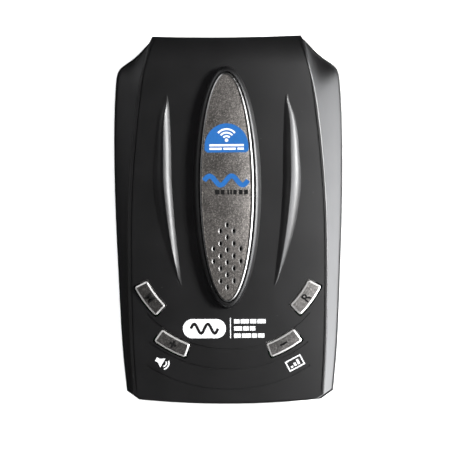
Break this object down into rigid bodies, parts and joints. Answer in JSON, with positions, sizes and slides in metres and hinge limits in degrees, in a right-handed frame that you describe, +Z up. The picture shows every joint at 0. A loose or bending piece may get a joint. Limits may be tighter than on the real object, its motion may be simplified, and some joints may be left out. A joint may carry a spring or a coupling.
{
  "type": "radar detector",
  "caption": "Dashboard radar detector: black two-part housing, grey oval speaker grille on top, four push keys, rear display window, front receiver window and a side power socket.",
  "frame": {"origin": "centre of the bounding box at its base, where the rubber feet stand", "axes": "+Y towards the road-facing front, +Z up through the grille, +X to the right seen from behind the display"},
  "size_m": [0.0674, 0.108, 0.03],
  "materials": {
    "black_abs": "fine matte texture",
    "satin_rim": "satin",
    "speckled_grey": "metallic speckled paint",
    "speckled_key": "metallic speckled paint",
    "nylon": "moulded",
    "switch_plastic": "moulded",
    "circuit_board": "solder mask",
    "microwave_board": "bare laminate",
    "led_package": "moulded",
    "led_red": "moulded",
    "smoked_acrylic": "polished",
    "dark_window": "polished",
    "die_cast": "as cast",
    "tinned_steel": "tinned",
    "clear_lens": "polished",
    "gold_can": "plated",
    "steel": "plated",
    "paper_cone": "pressed",
    "ferrite": "sintered",
    "foam": "foam",
    "cloth": "woven",
    "wire": "insulated",
    "jack_plastic": "moulded",
    "brass": "plated",
    "chip": "moulded",
    "capacitor_can": "bright",
    "ribbon": "film",
    "black_steel": "black oxide",
    "zinc_steel": "zinc plated",
    "rubber": "moulded",
    "label": "satin film"
  },
  "bodies": {
    "housing": {"audio_amplifier": "chip", "band_leds": "led_red", "base_label": "label", "board_header": "chip", "board_screws": "zinc_steel", "capacitors": "capacitor_can", "case_screws": "black_steel", "crystal": "tinned_steel", "digit_display": "led_package", "display_board": "circuit_board", "display_frame": "black_abs", "display_header": "brass", "display_lens": "smoked_acrylic", "front_window": "dark_window", "horn_antenna": "die_cast", "horn_screws": "zinc_steel", "jack_contact": "brass", "key_board": "circuit_board", "key_board_screws": "zinc_steel", "laser_holder": "black_abs", "laser_lens": "clear_lens", "laser_photodiode": "gold_can", "lower_shell": "black_abs", "main_board": "circuit_board", "microcontroller": "chip", "mixer_board": "microwave_board", "mixer_ribbon": "ribbon", "oval_plate": "speckled_grey", "oval_rim": "satin_rim", "power_jack": "jack_plastic", "rf_shield": "tinned_steel", "rubber_feet": "rubber", "speaker_basket": "steel", "speaker_cloth": "cloth", "speaker_cone": "paper_cone", "speaker_gasket": "foam", "speaker_leads": "wire", "speaker_magnet": "ferrite", "tact_switches": "switch_plastic", "upper_shell": "black_abs", "voltage_regulator": "chip"},
    "m_button": {"key_m": "speckled_key", "plunger_m": "nylon"},
    "r_button": {"key_r": "speckled_key", "plunger_r": "nylon"},
    "plus_button": {"key_plus": "speckled_key", "plunger_plus": "nylon"},
    "minus_button": {"key_minus": "speckled_key", "plunger_minus": "nylon"}
  },
  "joints": [
    {"name": "m_press", "type": "slide", "parent": "housing", "child": "m_button", "axis": [0, 0, -1], "range_m": [0, 0.0005], "stiffness_N_per_m": 1200},
    {"name": "r_press", "type": "slide", "parent": "housing", "child": "r_button", "axis": [0, 0, -1], "range_m": [0, 0.0005], "stiffness_N_per_m": 1200},
    {"name": "plus_press", "type": "slide", "parent": "housing", "child": "plus_button", "axis": [0, 0, -1], "range_m": [0, 0.0005], "stiffness_N_per_m": 1200},
    {"name": "minus_press", "type": "slide", "parent": "housing", "child": "minus_button", "axis": [0, 0, -1], "range_m": [0, 0.0005], "stiffness_N_per_m": 1200}
  ]
}
